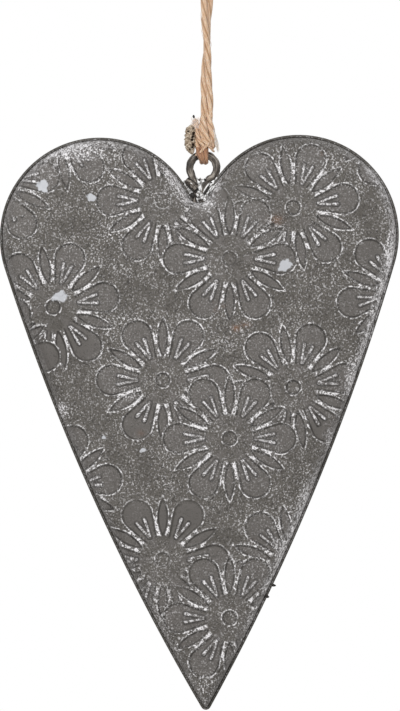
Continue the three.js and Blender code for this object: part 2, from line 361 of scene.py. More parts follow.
def cut_jute():
    """Jute cut across, its fibres' ends greyed and matted: pale specks, dark patches and painted
    shade in its gaps and low places, no lines.
    A real fibre is too fine to show, so the specks are 0.6 mm across."""
    material, t = new_material("cut_jute")
    place = add(t, "TexCoord", out="Object")
    speck = add(t, "TexNoise", Vector=place, Scale=1700, Detail=3, Roughness=0.6)
    patch = add(t, "TexNoise", Vector=place, Scale=700, Detail=2)
    crest = add(t, "Attribute", out="Fac", attribute_name="crest")
    pale = add(t, "MapRange", speck, 0.44, 0.62, 0, 1, **SOFT)
    dark = add(t, "MapRange", patch, 0.44, 0.34, 0, 0.45, **SOFT)
    # painted shade: where the crest is low, in the holes and the low places of the skin, the
    # colour goes dark
    gap = add(t, "MapRange", crest, 0.05, 0.5, 1, 0, **SOFT)
    dark = add(t, "Math MAXIMUM", dark, gap)
    coats = [(pale, "#E0D1BD"), (dark, "#2E2118")]
    bump = (speck, 0.8, 0.0003)
    return finish_material(
        material, "#9E8C78", coats, bump, Roughness=0.9, Specular_IOR_Level=0.2
    )


def jute(name, crest_colour, body_colour, groove_colour):
    """Jute twine, spun dry: pale silky fibres along each ply and brown shade in the grooves.

    A real fibre is 0.05 mm across; here one is 0.2 mm, so that it shows.
    """
    material, t = new_material(name)
    lay = add(t, "Attribute", out="Vector", attribute_name="lay")
    crest = add(t, "Attribute", out="Fac", attribute_name="crest")
    along = add(t, "Mapping", lay, Scale=(5, 5, 0.55))
    fibre = add(t, "TexNoise", Vector=along, Scale=1, Detail=3, Roughness=0.65)
    tone = add(t, "TexNoise", Vector=lay, Scale=0.45, Detail=2)
    pale = add(t, "MapRange", fibre, 0.42, 0.66, 0, 1, **SOFT)
    warm = add(t, "MapRange", tone, 0.4, 0.65, 0, 0.45)
    shade = add(t, "MapRange", crest, 0, 0.72, 0.8, 0, **SOFT)
    dark = add(t, "MapRange", fibre, 0.28, 0.42, 0.75, 0, **SOFT)
    shade = add(t, "Math MAXIMUM", shade, dark)
    return finish_material(
        material,
        body_colour,
        [(pale, crest_colour), (warm, body_colour), (shade, groove_colour)],
        (fibre, 0.7, 0.00025),
        Roughness=0.88,
        Specular_IOR_Level=0.25,
        Sheen_Weight=0.3,
        Sheen_Roughness=0.5,
        Subsurface_Weight=0.12,
        Subsurface_Radius=(0.0006, 0.0004, 0.0002),
        Subsurface_Scale=1,
    )


SHEET_METAL = aged_sheet()
DARK_WIRE = iron_wire()
SOLDER = tin_solder()
# Near-black painted shade for the slits at the neck, also used for the burrs on the hem
SLIT_SHADE_AND_BURRS = near_black("slit_shade_and_burrs")
CHAR = near_black("charred_jute")
TWINE = jute("jute_twine", "#F6E0C8", "#D8B291", "#A37A56")
# A darker copy of the twine: painted shade for the turn that lies in the eye
SHADED_TWINE = jute("jute_twine_in_shade", "#D2A785", "#AA7D60", "#66432E")
GREY_TWINE = jute("jute_twine_bleached", "#FBF4EC", "#E9DFD3", "#BDB0A0")
FRAYED_TWINE = jute("jute_twine_frayed", "#FFF3E8", "#F3DDCB", "#C8AB93")
CUT_TWINE = cut_jute()


# Meshes


def add_piece(name, shape, material, body):
    """A mesh from a shape, which is its points in millimetres, the lists of its faces' corners
    and its attributes, with one number or one vector for each point. body is None where the
    piece bends between two bodies."""
    points, faces, attributes = shape
    mesh = bpy.data.meshes.new(name)
    mesh.from_pydata((np.asarray(points) * MM).tolist(), [], faces)
    for label, values in attributes.items():
        values = np.asarray(values, dtype=np.float32)
        kind, key = ("FLOAT", "value") if values.ndim == 1 else ("FLOAT_VECTOR", "vector")
        mesh.attributes.new(label, kind, "POINT").data.foreach_set(key, values.ravel())
    turned = bmesh.new()
    turned.from_mesh(mesh)
    bmesh.ops.recalc_face_normals(turned, faces=turned.faces)
    turned.to_mesh(mesh)
    turned.free()
    mesh.shade_smooth()
    mesh.set_sharp_from_angle(angle=radians(50))
    mesh.materials.append(material)
    piece = bpy.data.objects.new(name, mesh)
    bpy.context.collection.objects.link(piece)
    if body:
        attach(piece, body)
    return piece


def grid(x, y, z):
    """Points, row by row, from the nets of their x, y and z."""
    return np.stack(np.broadcast_arrays(x, y, z), -1).reshape(-1, 3)


def net(rows, columns, joined=0):
    """Quads between rows of points, where each row closes on itself. joined is 1 where the last
    row meets the first."""
    index = np.arange(rows * columns).reshape(rows, columns)
    index = np.pad(index, ((0, joined), (0, 1)), mode="wrap")
    quads = np.stack([index[:-1, :-1], index[:-1, 1:], index[1:, 1:], index[1:, :-1]], -1)
    return quads.reshape(-1, 4).tolist()


def closed_net(rows, columns):
    """The same with a face over the first row and one over the last."""
    ends = [list(range(columns)), list(range((rows - 1) * columns, rows * columns))]
    return net(rows, columns) + ends


def round_angles(count):
    return np.linspace(0, TURN, count, endpoint=False)


def unit(vectors):
    return vectors / np.linalg.norm(vectors, axis=-1, keepdims=True)


def run_of(path):
    """The length of the path up to each of its points."""
    return np.concatenate([[0], np.cumsum(np.linalg.norm(np.diff(path, axis=0), axis=1))])


def smooth_path(points, step):
    """Points at even steps on a curve through points: on each span a cubic whose slope at
    a point is that of the parabola through it and its two neighbours."""
    p = np.asarray(points, float)
    knots = run_of(p)
    slope = np.gradient(p, knots, axis=0)
    fine = np.linspace(0, knots[-1], 30 * len(p))
    i = np.clip(np.searchsorted(knots, fine, side="right") - 1, 0, len(p) - 2)
    span = (knots[i + 1] - knots[i])[:, None]
    u = (fine - knots[i])[:, None] / span
    curve = (
        (2 * u**3 - 3 * u**2 + 1) * p[i]
        + (u**3 - 2 * u**2 + u) * span * slope[i]
        + (3 * u**2 - 2 * u**3) * p[i + 1]
        + (u**3 - u**2) * span * slope[i + 1]
    )
    run = run_of(curve)
    even = np.linspace(0, run[-1], max(4, int(run[-1] / step) + 1))
    return np.column_stack([np.interp(even, run, curve[:, k]) for k in range(3)])


def sweep(path, across, upward, start=(0, 1, 0)):
    """Carries a section along the path: across and upward are its points' distances along two
    vectors square to the path, which turn as little as they can along it. The first of them
    starts as near as it can to start."""
    tangent = unit(np.gradient(path, axis=0))
    side = np.empty_like(path)
    side[0] = start
    for i in range(len(path)):
        side[i] = side[max(i - 1, 0)]
        side[i] -= tangent[i] * (side[i] @ tangent[i])
        side[i] /= np.linalg.norm(side[i])
    up = np.cross(tangent, side)
    ring = path[:, None] + across[..., None] * side[:, None] + upward[..., None] * up[:, None]
    return ring.reshape(-1, 3)


def strand(path, radius, lay=11.0, groove=0.2, sides=30, start=(0, 1, 0), taper=(0, 0)):
    """A strand of three plies: at each point of the path a section whose radius dips by groove
    between plies, turned once every lay millimetres, so the dips wind round the path.
    taper is the length at each end over which it narrows to a point."""
    run = run_of(path)
    angle = round_angles(sides)
    crest = np.abs(np.cos(1.5 * angle))
    reach = np.full(len(path), float(radius))
    for length, from_end in zip(taper, (run, run[-1] - run)):
        if length:
            reach *= np.sqrt(np.clip(from_end / length, 0.02, 1))
    spread = reach[:, None] * (1 - groove * (1 - crest))
    around = angle - TURN * run[:, None] / lay
    points = sweep(path, np.cos(around) * spread, np.sin(around) * spread, start)
    fibre = angle - 0.35 * TURN * run[:, None] / lay
    lay_at = grid(radius * np.cos(fibre), radius * np.sin(fibre), run[:, None])
    faces = closed_net(len(path), sides)
    return points, faces, {"lay": lay_at, "crest": np.tile(crest, len(path))}


def join(parts):
    """One set of points, faces and attributes from several."""
    points, faces, attributes = [], [], {}
    first = 0
    for part_points, part_faces, part_attributes in parts:
        points.append(part_points)
        faces += [[first + i for i in face] for face in part_faces]
        for label, values in part_attributes.items():
            attributes.setdefault(label, []).append(values)
        first += len(part_points)
    attributes = {label: np.concatenate(values) for label, values in attributes.items()}
    return np.vstack(points), faces, attributes


# The loop of twine: one strand up, over the hook and down again, its two halves wound together

STRAND_ROUTE = [
    (0.8, 0, -47.7), (0.8, 0, -45.5), (0.79, -0.12, -42), (0.68, -0.45, -38), (0.48, -0.66, -34),
    (0.18, -0.79, -29.5), (-0.12, -0.8, -25), (-0.46, -0.66, -20.5), (-0.74, -0.38, -16.5),
    (-1.15, -0.15, -13), (-2.1, -0.03, -9.5), (-3.3, 0, -6.4), (-4.1, 0, -3.6), (-3.75, 0, -1.2),
    (-2.1, 0, 0.4),
]
LOOP_TOP = (0, 0, 0.9)
# Below LEAN_FROM the loop comes to hang to the right by LEAN, over LEAN_RUN, and sways by SWAY
# once in each SWAY_LENGTH.
LEAN_FROM, LEAN_RUN, LEAN = -4.0, 10.0, 1.22
SWAY_AT, SWAY_LENGTH, SWAY = -29.0, 15.0, 0.12


def loop_path():
    """The route of one half, the loop's top, and the other half, which is the first turned half
    round about Z. The lean comes in along a smooth step, and the sway is a cosine."""
    first = np.array(STRAND_ROUTE)
    second = (first * (-1, -1, 1))[::-1]
    path = smooth_path(np.vstack([first, [LOOP_TOP], second]), 0.3)
    lean = np.clip((LEAN_FROM - path[:, 2]) / LEAN_RUN, 0, 1)
    sway = LEAN + SWAY * np.cos(TURN * (path[:, 2] - SWAY_AT) / SWAY_LENGTH)
    path[:, 0] += lean * lean * (3 - 2 * lean) * sway
    return path


LOOP = loop_path()
loop_piece = add_piece("loop_of_twine", strand(LOOP, STRAND, lay=18.0), TWINE, None)
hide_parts("twine_loop")


# The knot, the cut end, the frayed end and the turn through the eye

# The knot's strands, each a radius and a route: two come down into it, a pale and a shaded one
# cross in front, thin ones bind its foot, wraps go round the back and a fat core fills it.
KNOT = [
    (0.97, [(0.13, -0.3, -46.8), (0.24, -0.8, -49.1), (0.75, -1.5, -52.2), (1.48, -1.8, -54.7),
        (2.5, -1.2, -56.2)]),
    (1, [(1.97, 0.2, -46.2), (1.99, -0.3, -49.1), (2.6, -0.8, -51.8), (3, -0.9, -54.3),
        (2.7, -0.3, -57)]),
    (0.58, [(-1.85, -0.9, -50.3), (-1.52, -1.7, -52.2), (-0.8, -2.1, -54.3), (0.44, -2.1, -56.1),
        (1.2, -1.3, -57.4)]),
    (0.75, [(-0.9, -0.4, -49.6), (-0.35, -1, -51.8), (0.44, -1.4, -54.1), (1, -1.2, -56)]),
    (0.34, [(-0.4, -2.2, -53.6), (1.06, -2.5, -55.3), (2.3, -2.1, -56.5), (3.4, -1.2, -57.6)]),
    (0.36, [(-2, -1.6, -58.6), (-0.8, -2.4, -57.8), (0.44, -2.7, -56.7), (1.6, -2.5, -55.5),
        (2.8, -1.6, -54.2)]),
    (0.85, [(-1.5, -0.2, -51.2), (-1.6, -1, -53.4), (-1.3, -1.3, -55.8), (-0.7, -1.2, -57.6)]),
    (1, [(-1.4, 0.9, -56.3), (-0.2, 2, -55.2), (1.7, 1.9, -54.4), (2.9, 0.7, -54.2),
        (3, -0.4, -55)]),
    (1, [(-1.6, 0.6, -52.3), (-0.4, 1.7, -51.6), (1.4, 1.8, -51.2), (2.7, 0.6, -51.4)]),
    (1.6, [(1, 0.7, -46.9), (0.9, 0.8, -50), (0.9, 0.7, -54), (0.9, 0.4, -57)]),
]


def knot_strands():
    """Strands of the tight overhand knot, each tapered over a little more than its radius."""
    return join([
        strand(smooth_path(route, 0.2), size, lay=12 * size, taper=(1.3 * size, 1.3 * size))
        for size, route in KNOT
    ])


knot_piece = add_piece("knot_of_twine", knot_strands(), TWINE, "knot")
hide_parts("twine_knot")

CUT_RADIUS = 1.5
CUT_END = [
    (-2.95, -1, -50), (-3.3, -1.45, -52), (-3.5, -1.7, -54.4), (-3.3, -1.7, -56.4),
    (-2.7, -1.4, -58.3),
]
# The gaps between the cut end's fibres, which dip in and are painted dark as shade: x, z, half
# width, half height
HOLES = [
    (-2.35, -51, 0.4, 0.25), (-2.45, -52.4, 0.38, 0.48), (-2.65, -53.3, 0.34, 0.4),
    (-2.85, -54.2, 0.42, 0.34), (-2.55, -55.6, 0.4, 0.42), (-2.75, -56.3, 0.28, 0.28),
    (-3.45, -56.9, 0.22, 0.22), (-3.9, -51.9, 0.3, 0.2),
]


def cut_end():
    """The twine's cut end, seen from its side: a fat matted bundle with a rough skin, and holes
    that dip into its front where the fibres have parted. Holes and low places carry a low crest,
    which paints shade into them."""
    spine = smooth_path(CUT_END, 0.12)
    sides = 64
    shape = strand(spine, CUT_RADIUS, lay=40.0, groove=0.12, sides=sides, taper=(1.6, 2.6))
    points, faces, attributes = shape
    x, y, z = points.T
    rough = np.sin(5.1 * z + 3.7 * x) + np.sin(7.3 * z - 4.4 * x + 2 * y)
    rough = 0.07 * (rough + np.sin(11.9 * z + 6.1 * y + 1.3))
    hollow = np.zeros(len(points))
    for cx, cz, width, height in HOLES:
        near = np.exp(-((x - cx) ** 2 / width**2 + (z - cz) ** 2 / height**2) ** 2)
        hollow = np.maximum(hollow, near * (y < -1.2))
    middle = np.repeat(spine, sides, axis=0)
    points = middle + (points - middle) * (1 + rough[:, None])
    points[:, 1] += 0.7 * hollow
    # A low crest paints shade into the holes and the low places of the skin
    attributes["crest"] = np.clip(0.65 + 1.6 * rough - 1.3 * hollow, 0, 1)
    return points, faces, attributes


cut_piece = add_piece("cut_end_of_twine", cut_end(), CUT_TWINE, "knot")
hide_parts("cut_end")


# Radii of the fibres in the frayed end and in the tuft, and of loose ones
FRAYED_FIBRE, TUFT_FIBRE, LOOSE_FIBRE = 0.075, 0.12, 0.05


def fibres(roots, tips, bow, radius):
    """Loose fibres: each a thin three-sided tube on an arc from its root to its tip that bows
    out by bow."""
    parts = []
    for root, tip, bend in zip(roots, tips, bow):
        route = smooth_path([root, (root + tip) / 2 + bend, tip], 0.5)
        ends = {"taper": (0, 1.0), "start": (0.3, 1, 0.2)}
        parts.append(strand(route, radius, sides=3, groove=0.0, **ends))
    return join(parts)


def frayed_end():
    """The twine's other end at the knot's right: a thin wisp of bleached fibres that hangs down,
    closed up at its tip."""
    count = 40
    route = [(3.0, -1.2, -50.8), (3.6, -1.8, -53.4), (4.15, -2.1, -55.8), (4.5, -2.2, -58.0)]
    core = smooth_path(route, 0.1)
    half = len(core) // 2
    start = core[rng.integers(0, half, count)] + rng.normal(0, (0.16, 0.15, 0.2), (count, 3))
    end = core[rng.integers(half, len(core), count)]
    end = end + rng.normal(0, (0.17, 0.12, 0.2), (count, 3))
    bend = rng.normal((0.12, 0, 0), (0.15, 0.12, 0.1), (count, 3))
    return fibres(start, end, bend, FRAYED_FIBRE)


fray_piece = add_piece("frayed_end_of_twine", frayed_end(), GREY_TWINE, "knot")
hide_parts("frayed_end")


def tuft():
    """Fibres that stand up off the top of the cut end and lean on the twine."""
    count = 90
    root = np.array([-2.1, -1.3, -51.0]) + rng.normal(0, (0.6, 0.25, 0.35), (count, 3))
    tip = np.array([-1.75, -1.1, -48.9]) + rng.normal(0, (0.65, 0.25, 0.7), (count, 3))
    bend = rng.normal(0, (0.3, 0.15, 0.1), (count, 3))
    return fibres(root, tip, bend, TUFT_FIBRE)


tuft_piece = add_piece("tuft_of_fibres", tuft(), FRAYED_TWINE, "knot")


def singed_tip():
    """The tuft's topmost fibres, singed together into a small dark ball."""
    route = smooth_path([(-2.45, -1.2, -47.2), (-2.42, -1.3, -47.6), (-2.3, -1.2, -48.2)], 0.08)
    return strand(route, 0.34, groove=0.0, sides=14, taper=(0.4, 0.5))


singed_piece = add_piece("singed_tip_of_tuft", singed_tip(), CHAR, "knot")


def stray_fibres(path, count, spread, reach):
    """Fibres that have worked loose along a path and lie close to it."""
    at = rng.integers(4, len(path) - 12, count)
    side = unit(rng.normal(0, 1, (count, 3)) * (1, 1, 0.2))
    root = path[at] + side * spread * 0.75
    tip = path[np.minimum(at + rng.integers(6, 12, count), len(path) - 1)]
    tip = tip + side * (spread + rng.uniform(0.1, reach, (count, 1)))
    return fibres(root, tip, side * 0.15, LOOSE_FIBRE)


# The rings of the turn: x, how far the top leans out, radius and radius of the section
RINGS = [(-0.1, -1.0, 2.16, 0.76), (0.45, -0.5, 2.10, 0.68), (0.98, 0.0, 2.24, 0.76)]


def eye_turn():
    """Closed rings of the twine's plies pressed together round the bow's wire: a plied section
    carried round a circle about the X axis, with a whole turn of its lay. They lean to the left
    at their tops, the left one most."""
    parts = []
    steps, sides = 96, 26
    along = round_angles(steps)[:, None]
    angle = round_angles(sides)
    crest = np.abs(np.cos(1.5 * angle))
    around = angle - along
    fibre = angle + 0.7 * along
    attributes = {
        "lay": grid(np.cos(fibre), np.sin(fibre), 2.4 * along), "crest": np.tile(crest, steps)
    }
    for x, top, radius, size in RINGS:
        reach = size * (1 - 0.14 * (1 - crest))
        out = radius + reach * np.cos(around)
        lean = top * np.clip(np.sin(along) + 0.85, 0, 1)
        y, z = -out * np.cos(along), TURN_AXIS + out * np.sin(along)
        points = grid(x + lean + reach * np.sin(around), y, z)
        parts.append((points, net(steps, sides, 1), attributes))
    return join(parts)


turn_piece = add_piece("turn_through_eye", eye_turn(), SHADED_TWINE, "turn")
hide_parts("eye_turn")

strays = stray_fibres(LOOP[: len(LOOP) // 2], 34, STRAND, 0.5)
stray_piece = add_piece("loose_fibres", strays, TWINE, None)
for piece in (loop_piece, stray_piece):
    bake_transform(piece)

# The knot and the cut end each get a mesh of their own. The bow pushes their soft foot up as it
# tilts.
for piece in (knot_piece, cut_piece):
    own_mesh(piece)


# The heart's outline


def hang(points):
    """Puts points from the heart's own frame, its middle at x = 0, where the heart hangs: the
    bow's middle comes under the loop and the heart turns about it by REST_LEAN."""
    points = np.array(points, float)
    x, z = points[:, 0] - BOW_LEAN, points[:, 2] - BOW
    points[:, 0] = x * cos(REST_LEAN) - z * sin(REST_LEAN)
    points[:, 2] = x * sin(REST_LEAN) + z * cos(REST_LEAN) + BOW
    return points


CLEFT_RISE = sqrt((LOBE_RADIUS + CLEFT_RADIUS) ** 2 - LOBE_OFFSET**2)
LOBE_Z = CLEFT + CLEFT_RADIUS - CLEFT_RISE
CLEFT_STEPS, LOBE_STEPS, SIDE_STEPS, TIP_STEPS = 16, 190, 262, 8


def side_centre():
    """Centre of the right side's long arc, which touches the lobe's and the tip's circles from
    outside."""
    tip_z = LOBE_Z - TIP_DROP + TIP_RADIUS
    to_lobe, to_tip = SIDE_RADIUS - LOBE_RADIUS, SIDE_RADIUS - TIP_RADIUS
    dx, dz = LOBE_OFFSET, LOBE_Z - tip_z
    gap = hypot(dx, dz)
    along = (to_tip**2 - to_lobe**2 + gap**2) / (2 * gap)
    across = sqrt(to_tip**2 - along**2)
    return (dx * along - dz * across) / gap, tip_z + (dz * along + dx * across) / gap


SIDE_X, SIDE_Z = side_centre()
CLEFT_ANGLE = atan2(-CLEFT_RISE, LOBE_OFFSET)
LOBE_ANGLE = atan2(LOBE_Z - SIDE_Z, LOBE_OFFSET - SIDE_X)


def outline(inset):
    """The heart's edge moved inwards by inset: an arc about the cleft, one round the lobe, a long
    one down the side and a small one at the tip, then the same mirrored."""

    def arc(cx, cz, radius, a, b, steps):
        angle = a + (b - a) * np.arange(steps) / steps
        return np.column_stack([cx + radius * np.cos(angle), cz + radius * np.sin(angle)])

    side = SIDE_RADIUS - inset
    tip = max(TIP_RADIUS - inset, TIP_RADIUS / 3)
    tip_z = SIDE_Z - sqrt((side - tip) ** 2 - SIDE_X**2)
    tip_angle = atan2(tip_z - SIDE_Z, -SIDE_X)
    cleft_z = LOBE_Z + CLEFT_RISE
    right = np.vstack([
        arc(0, cleft_z, CLEFT_RADIUS + inset, -pi / 2, CLEFT_ANGLE, CLEFT_STEPS),
        arc(LOBE_OFFSET, LOBE_Z, LOBE_RADIUS - inset, pi + CLEFT_ANGLE, LOBE_ANGLE, LOBE_STEPS),
        arc(SIDE_X, SIDE_Z, side, LOBE_ANGLE, tip_angle, SIDE_STEPS),
        arc(0, tip_z, tip, tip_angle, -pi / 2, TIP_STEPS),
        [[0, tip_z - tip]],
    ])
    return np.vstack([right, right[1:-1][::-1] * (-1, 1)])


def inset_at(x, z):
    """How far a point lies inside the edge: its distance to the nearer side's long arc, to the
    lobe's arc where it lies in that arc's sector, and to the cleft's arc in that one's."""
    ax = np.abs(x)
    side = SIDE_RADIUS - np.hypot(ax - SIDE_X, z - SIDE_Z)
    lobe = LOBE_RADIUS - np.hypot(ax - LOBE_OFFSET, z - LOBE_Z)
    cleft = np.hypot(ax, z - LOBE_Z - CLEFT_RISE) - CLEFT_RADIUS
    angle = np.arctan2(z - LOBE_Z, ax - LOBE_OFFSET)
    in_lobe = (angle > LOBE_ANGLE) & (angle < pi + CLEFT_ANGLE)
    in_cleft = np.arctan2(z - LOBE_Z - CLEFT_RISE, ax) < CLEFT_ANGLE
    inset = np.where(in_cleft, np.minimum(side, cleft), side)
    return np.where(in_lobe, np.minimum(inset, lobe), inset)


def crown(x, z):
    """Height of the low crown: a parabola in the inset, which is blended across the middle line
    so that the crown has no crease."""
    left = SIDE_RADIUS - np.hypot(x + SIDE_X, z - SIDE_Z)
    right = SIDE_RADIUS - np.hypot(x - SIDE_X, z - SIDE_Z)
    apart = np.maximum(CROWN_BLEND - np.abs(left - right), 0)
    inset = inset_at(x, z) - apart**2 / (4 * CROWN_BLEND)
    q = np.clip((inset - LIP - SHOULDER) / (CROWN_INSET - LIP - SHOULDER), 0, 1)
    return CROWN * (1 - (1 - q) ** 2)


# The flower pattern

# Middles (x, z), turn in degrees and how many one below another, the lowest layer first
COLUMNS = [
    (-40.8, -51.2, 11, 1), (-41.5, -100.9, 11, 1), (-40.6, -151.6, 11, 2), (-58.2, -65.7, 4, 3),
    (52.8, -49.2, 9, 1), (55.8, -97.1, 10, 3), (-11, -71.2, 0, 3), (25.3, -73.2, 10, 3),
    (7.6, -87.4, 0, 3),
]
PITCH = 50.0
FAR = -9.0  # a signed distance that stands for nothing near

# A flower's sizes: the ring in its middle and the room round it; a round petal's root and head
# along its axis and the head's radius; a slim petal's middle, half length and half width; a
# stroke's inner and outer end
RING, RING_ROOM = 2.1, 3.4
ROOT, HEAD, HEAD_RADIUS = 1.0, 14.3, 4.3
SLIM_MIDDLE, SLIM_LENGTH, SLIM_WIDTH = 11.9, 5.7, 1.5
STROKE_START, STROKE_END = np.array([7.1, 0.2]), np.array([12.4, 1.2])
COVER = 0.45

# Heights of the pressing, and how wide an outline's ridge is
RIDGE, RIDGE_WIDTH, STROKE, SWELL = 0.20, 0.34, 0.24, 0.12


def daisy(x, z, middle_x, middle_z, turn):
    """One flower of six round petals, six slim ones between them, two strokes in each round
    petal and a ring in the middle. Gives signed distances in millimetres, positive inside:
    line to the nearest outline, stroke to the nearest stroke, floor to the plain areas and foot
    to the whole flower, and rub, the strength of the outline, which is nothing between the ring
    and the petals' roots. A round petal is a circle and the two lines that touch it and meet
    near the middle; a slim petal is the overlap of two circles; a stroke is a short bar that
    widens outwards. Outside the petals distances shrink, so the lines are wide."""
    dx, dz = x - middle_x, z - middle_z
    r = np.hypot(dx, dz)
    a = np.arctan2(dz, dx) - radians(turn)
    sector = pi / 3

    fold = (a + sector / 2) % sector - sector / 2
    u, v = r * np.cos(fold), r * np.abs(np.sin(fold))
    slope = HEAD_RADIUS / (HEAD - ROOT)
    level = sqrt(1 - slope**2)
    along = v * slope + (u - ROOT) * level
    beside = v * level - (u - ROOT) * slope
    beside = np.where(along < 0, np.hypot(v, u - ROOT), beside)
    past_head = along > level * (HEAD - ROOT)
    egg = -np.where(past_head, np.hypot(v, u - HEAD) - HEAD_RADIUS, beside)

    fold = a % sector - sector / 2
    bend = (SLIM_LENGTH**2 + SLIM_WIDTH**2) / (2 * SLIM_WIDTH)
    over, off = r * np.cos(fold) - SLIM_MIDDLE, r * np.abs(np.sin(fold))
    slim = bend - np.hypot(over, off + bend - SLIM_WIDTH)

    petals = np.maximum(egg, slim)
    wide = 0.62 + 0.38 * np.clip((r - 10.5) / 3, 0, 1)
    petals = np.where(petals < 0, petals * wide, petals)
    line = np.where(r < RING_ROOM, RING - r, petals)
    floor = np.maximum(np.maximum(egg, 1.6 * slim), np.minimum(0.4 * (7.2 - r), 0.32))

    axis = STROKE_END - STROKE_START
    du, dv = u - STROKE_START[0], v - STROKE_START[1]
    t = np.clip((du * axis[0] + dv * axis[1]) / (axis @ axis), 0, 1)
    stroke = 0.18 + 0.16 * t - np.hypot(du - t * axis[0], dv - t * axis[1])

    rub = np.clip((r - 6.5) / 0.6, 0, 1) * (0.62 + 0.38 * np.clip((15.5 - r) / 3, 0, 1))
    rub = np.where(r < RING_ROOM, 0.55 * np.clip((3.2 - r) / 0.4, 0, 1), rub)
    return line, stroke, floor, rub, np.maximum(petals, 6.8 - r)


def blotches(x, z, spots):
    """Sum of soft round spots: x, z, half width, half height and amount of each."""
    total = np.zeros(x.shape)
    for cx, cz, width, height, amount in spots:
        total += amount * np.exp(-(((x - cx) / width) ** 2) - ((z - cz) / height) ** 2)
    return total


# Spots where the pressing came out shallow
FAINT = [
    (-52, -72, 7, 7, 0.65), (-9, -177, 8, 7, 0.75), (-18, -156.5, 5.5, 4, 0.7),
    (-4, -156.5, 5.5, 4, 0.7), (4, -166, 4, 4, 0.4), (-52, -112, 6, 5, 0.5), (16, -78, 5, 4, 0.4),
    (-2, -75, 5, 4, 0.6), (7.5, -69, 5.5, 5, 0.8), (1, -128, 4, 4, 0.4), (-17, -92, 4, 4, 0.4),
    (-11, -71.2, 3.6, 3.6, 0.65), (7.6, -87.4, 3.6, 3.6, 0.5), (-5.7, -125.4, 3, 3, 0.4),
]
# Where the white wash was left thick, and where it was wiped off
WASH = [
    (-35, -57.5, 8, 3, 0.9), (-31.5, -67, 4, 4, 0.35), (-24, -79, 4.5, 8, 0.25),
    (1, -206.5, 3.5, 4.5, 0.35), (-11, -190, 3, 8, 0.4), (-45, -63, 5, 4, 0.35),
    (-3.5, -76.5, 6, 4, 0.28), (-12.5, -70, 5, 4, 0.2), (34.8, -89.9, 4, 4, 0.18),
    (-10, -61, 3, 2.6, 0.6), (-7.8, -63.8, 2.6, 2.8, 1.1), (-5.6, -67, 2.6, 2.8, 1.1),
    (-3, -70.3, 3.2, 2.2, 0.9), (1.5, -71.5, 3, 3, 0.7), (4, -66, 2, 2.5, 0.3),
    (-22, -60, 7, 4, 0.25), (24, -59, 10, 4.5, 0.22), (51, -68, 2.5, 6, 0.5),
    (19, -77.5, 4.5, 6.5, 0.3), (52.3, -88, 1.8, 9, 1.3), (49.5, -103, 1.6, 5, 0.7),
    (45.5, -113.5, 2.2, 5, 0.9), (42, -122.5, 2, 6.5, 1.2), (35.5, -137, 1.8, 7, 0.7),
    (28.5, -154, 1.8, 8, 0.7), (21.5, -171, 2, 8, 0.7), (13.8, -188, 1.8, 5, 0.6),
    (-20.5, -125.5, 4, 2, 0.55), (-38.9, -129.2, 2.2, 2.6, 1), (-20, -103.9, 4.5, 1.2, 0.45),
    (15.6, -137.4, 4, 5, 0.3), (-3.5, -134, 5, 5, 0.2), (8, -124, 4, 2, 0.12),
]
WIPED = [
    (-38.5, -113, 7, 8, 0.4), (-33, -126, 6, 5, 0.35), (-30.5, -135, 3.5, 4.5, 0.3),
    (-22.5, -154.5, 5, 4, 0.3), (-12.5, -99.5, 4, 4, 0.3), (34, -131.5, 3, 4, 0.3),
    (-14.5, -63, 2.4, 3, 0.4), (-6, -74.5, 4, 2, 0.4), (47.5, -78, 5, 8, 0.35),
    (30, -140, 6, 8, 0.22), (-5, -159.5, 14, 5, 0.38), (20, -148, 4, 4, 0.3),
    (-10.5, -131, 4, 4, 0.25), (6.5, -69, 2.5, 3, 0.35), (30, -95, 9, 6, 0.1),
    (-18, -138, 7, 7, 0.2), (-3, -165, 8, 7, 0.15),
]
# Specks of rust
RUST = [
    (9.4, -106.7, 1, 0.8, 0.9), (20.6, -76.6, 1.8, 1.2, 0.6), (12, -105.8, 1.3, 0.8, 0.5),
    (31, -152, 1, 0.7, 0.5), (-17, -136, 1, 0.8, 0.3),
]
# How strongly the rim is rubbed: most along the right side, the top of the left lobe and the
# cleft
RIM = [
    (50, -100, 7, 22, 1.4), (-36, -57, 14, 7, 1), (24, -162, 12, 24, 0.7), (49, -66, 6, 8, 0.6),
    (0, -69, 8, 7, 0.9),
]
# The rubbed band's middle and width, as insets, and the inset where the pattern ends. The band
# reaches out over the shoulder's steep start and paints light into its shade there.
BAND_INSET, BAND_WIDTH = 1.4, 1.3
PATTERN_EDGE = 1.1
# Pale chips: x, z, half width, half height, turn
CHIPS = [
    (-44.5, -67.2, 1.5, 1.7, 20), (-30.8, -70.4, 1.4, 1, -20), (-39.6, -97.9, 1.9, 1.5, 10),
    (23.1, -89.2, 1.85, 1.5, 35), (-27.4, -137.1, 0.6, 0.5, 0), (-16.6, -140.7, 0.7, 0.55, 0),
]


def pattern(x, z):
    """The flowers one over another: inside a flower's own outline, and COVER outside it, only its
    lines are left. In the faint spots the outlines are weaker, and the strokes are gone."""
    line, stroke, floor = np.full((3, *x.shape), FAR)
    rub = np.full(x.shape, 0.6)
    for middle_x, top, turn, rows in COLUMNS:
        for row in range(rows):
            flower = daisy(x, z, middle_x, top - row * PITCH, turn)
            own_line, own_stroke, own_floor, own_rub, foot = flower
            covers = foot > -COVER
            rub = np.where(covers | (own_line > line), own_rub, rub)
            line = np.where(covers, own_line, np.maximum(line, own_line))
            stroke = np.where(covers, own_stroke, stroke)
            floor = np.where(covers, own_floor, floor)
    strength = 1 - blotches(x, z, FAINT)
    return line, np.where(strength < 0.5, FAR, stroke), floor, rub * strength


def relief(line, stroke, floor, rub):
    """Height of the pressing: a round ridge along each outline, one on each stroke, and petals
    that swell a little."""
    ridge = RIDGE * np.clip(2 * rub, 0, 1) * np.exp(-(((line + 0.1) / RIDGE_WIDTH) ** 2))
    bar = STROKE * np.clip((stroke + 0.3) / 0.45, 0, 1)
    swell = SWELL * np.clip(floor / 2.5, 0, 1)
    return np.maximum(ridge, bar) + swell - SWELL


